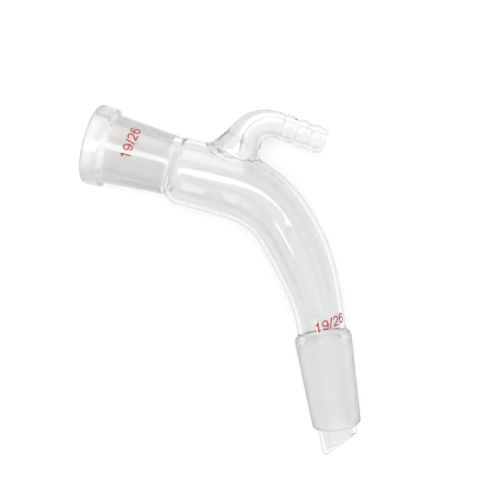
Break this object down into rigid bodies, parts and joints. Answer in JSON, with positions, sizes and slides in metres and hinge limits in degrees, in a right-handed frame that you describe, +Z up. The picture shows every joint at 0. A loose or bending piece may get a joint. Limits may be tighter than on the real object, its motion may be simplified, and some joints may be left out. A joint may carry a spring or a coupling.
{
  "type": "vacuum take off adapter",
  "caption": "Bent one-piece glass adapter with a ground socket, a ground cone ending in a slanted drip tip, and a side arm with a ridged hose nipple.",
  "frame": {"origin": "centre of the bounding box's bottom face, on the surface the adapter lies on", "axes": "+Z up from the surface, +X from the socket towards the cone and the nipple, +Y from the cone towards the side arm; the adapter lies on its side on the socket's rim, the bend and the ring above the cone"},
  "size_m": [0.0926, 0.1158, 0.0272],
  "materials": {
    "glass": "clear borosilicate glass, frosted on the two ground joints"
  },
  "bodies": {
    "root": {"adapter": "glass"}
  },
  "joints": []
}
